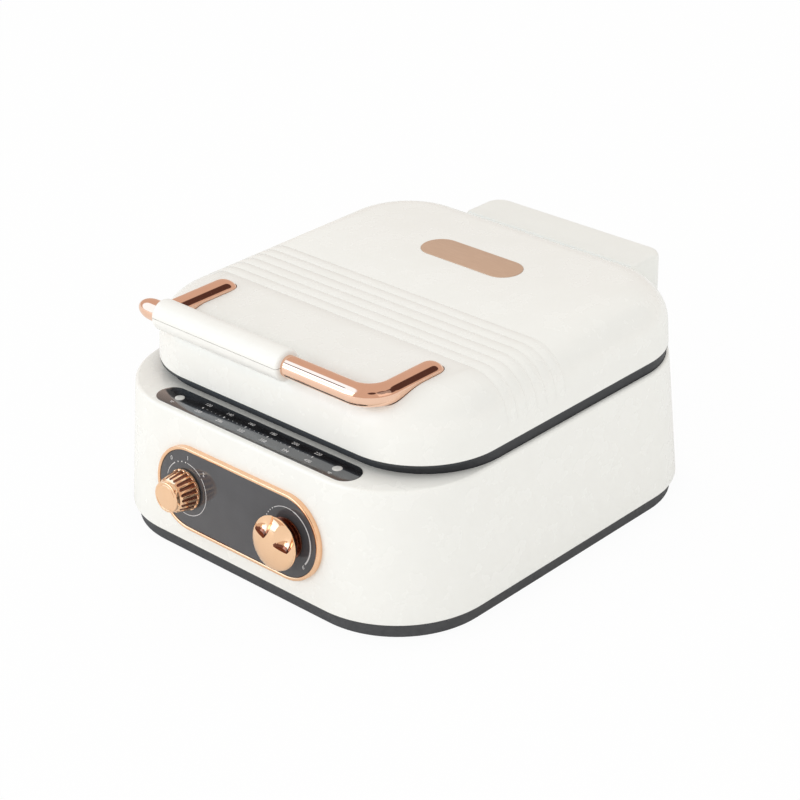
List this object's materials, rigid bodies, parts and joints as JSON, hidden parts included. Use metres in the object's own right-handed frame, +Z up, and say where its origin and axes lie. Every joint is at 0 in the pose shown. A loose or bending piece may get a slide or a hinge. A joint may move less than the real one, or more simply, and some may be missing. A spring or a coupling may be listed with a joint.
{
  "type": "waffle maker",
  "caption": "Countertop waffle maker with a hinged lid, a tubular handle with a grip, a rear hinge cover, cast grid plates and a front panel with two rotary knobs",
  "frame": {"origin": "centre of the box round the whole closed object, on the table top under the rubber feet", "axes": "+Z is up, the control panel faces -Y, +X is to the right of someone who faces the panel"},
  "size_m": [0.301, 0.3741, 0.1687],
  "materials": {
    "white_shell": "satin warm white moulding",
    "hinge_white": "satin warm white moulding",
    "grip_white": "smooth warm white heat-proof plastic",
    "dark_plinth": "dark grey matt moulding",
    "foot_rubber": "matt black rubber",
    "rim_black": "black heat-proof moulding",
    "cast_plate": "cast aluminium with dark non-stick coating",
    "heater_steel": "heat-tinted tubular heater sheath",
    "reflector_sheet": "bright rolled sheet",
    "screw_steel": "zinc plated",
    "pin_steel": "ground bright",
    "bracket_steel": "galvanised sheet",
    "sensor_copper": "drawn copper",
    "fuse_ceramic": "unglazed cream ceramic",
    "strip_film": "dark glossy film",
    "lens_clear": "milky clear lens",
    "board_green": "green circuit board",
    "lamp_red": "small red lamp",
    "rose_gold": "polished rose gold",
    "rose_gold_knob": "polished rose gold",
    "panel_gloss": "dark grey glossy face",
    "switch_body": "dark moulded switch body",
    "thermostat_body": "pressed thermostat case",
    "inlet_black": "black moulded inlet",
    "pin_brass": "plated contact pins",
    "terminal_cream": "cream terminal block",
    "wire_red": "silicone insulated wires",
    "badge_copper": "brushed copper plate"
  },
  "bodies": {
    "base": {"plinth_tray": "dark_plinth", "rubber_feet": "foot_rubber", "tray_screws": "screw_steel", "base_shell": "white_shell", "deck_rim": "rim_black", "rim_screws": "screw_steel", "lower_plate": "cast_plate", "lower_heater": "heater_steel", "lower_heater_clips": "screw_steel", "lower_reflector": "reflector_sheet", "lower_plate_screws": "screw_steel", "sensor_bulb": "sensor_copper", "thermal_fuse": "fuse_ceramic", "label_strip": "strip_film", "power_lens": "lens_clear", "ready_lens": "lens_clear", "lamp_board": "board_green", "lamps": "lamp_red", "lamp_board_screws": "screw_steel", "panel_bezel": "rose_gold", "control_panel": "panel_gloss", "control_bracket": "bracket_steel", "bracket_screws": "screw_steel", "selector_switch": "switch_body", "thermostat": "thermostat_body", "power_inlet": "inlet_black", "inlet_pins": "pin_brass", "inlet_screws": "screw_steel", "terminal_block": "terminal_cream", "wiring_loom": "wire_red", "left_hinge_ear": "hinge_white", "right_hinge_ear": "hinge_white", "ear_screws": "screw_steel"},
    "selector": {"selector_shaft": "pin_steel", "selector_knob": "rose_gold_knob"},
    "temperature_dial": {"thermostat_shaft": "pin_steel", "temperature_knob": "rose_gold_knob"},
    "lid": {"lid_shell": "white_shell", "lid_rim": "rim_black", "lid_rim_screws": "screw_steel", "upper_plate": "cast_plate", "upper_heater": "heater_steel", "upper_heater_clips": "screw_steel", "upper_reflector": "reflector_sheet", "upper_plate_screws": "screw_steel", "upper_thermal_fuse": "fuse_ceramic", "lid_badge": "badge_copper", "handle_bar": "rose_gold", "handle_left_arm": "rose_gold", "handle_screws": "screw_steel", "grip_upper": "grip_white", "grip_lower": "grip_white", "hinge_cover": "hinge_white", "hinge_strip": "bracket_steel", "hinge_cover_screws": "screw_steel", "hinge_pins": "pin_steel"}
  },
  "joints": [
    {"name": "selector_turn", "type": "hinge", "parent": "base", "child": "selector", "pos_m": [-0.0478, -0.16457, 0.0552], "axis": [0, -0.9977, 0.068], "range_deg": [-90, 45]},
    {"name": "temperature_turn", "type": "hinge", "parent": "base", "child": "temperature_dial", "pos_m": [0.0478, -0.16457, 0.0552], "axis": [0, -0.9977, 0.068], "range_deg": [-125, 75]},
    {"name": "lid_hinge", "type": "hinge", "parent": "base", "child": "lid", "pos_m": [0, 0.17355, 0.136], "axis": [-1, 0, 0], "range_deg": [0, 100]}
  ]
}
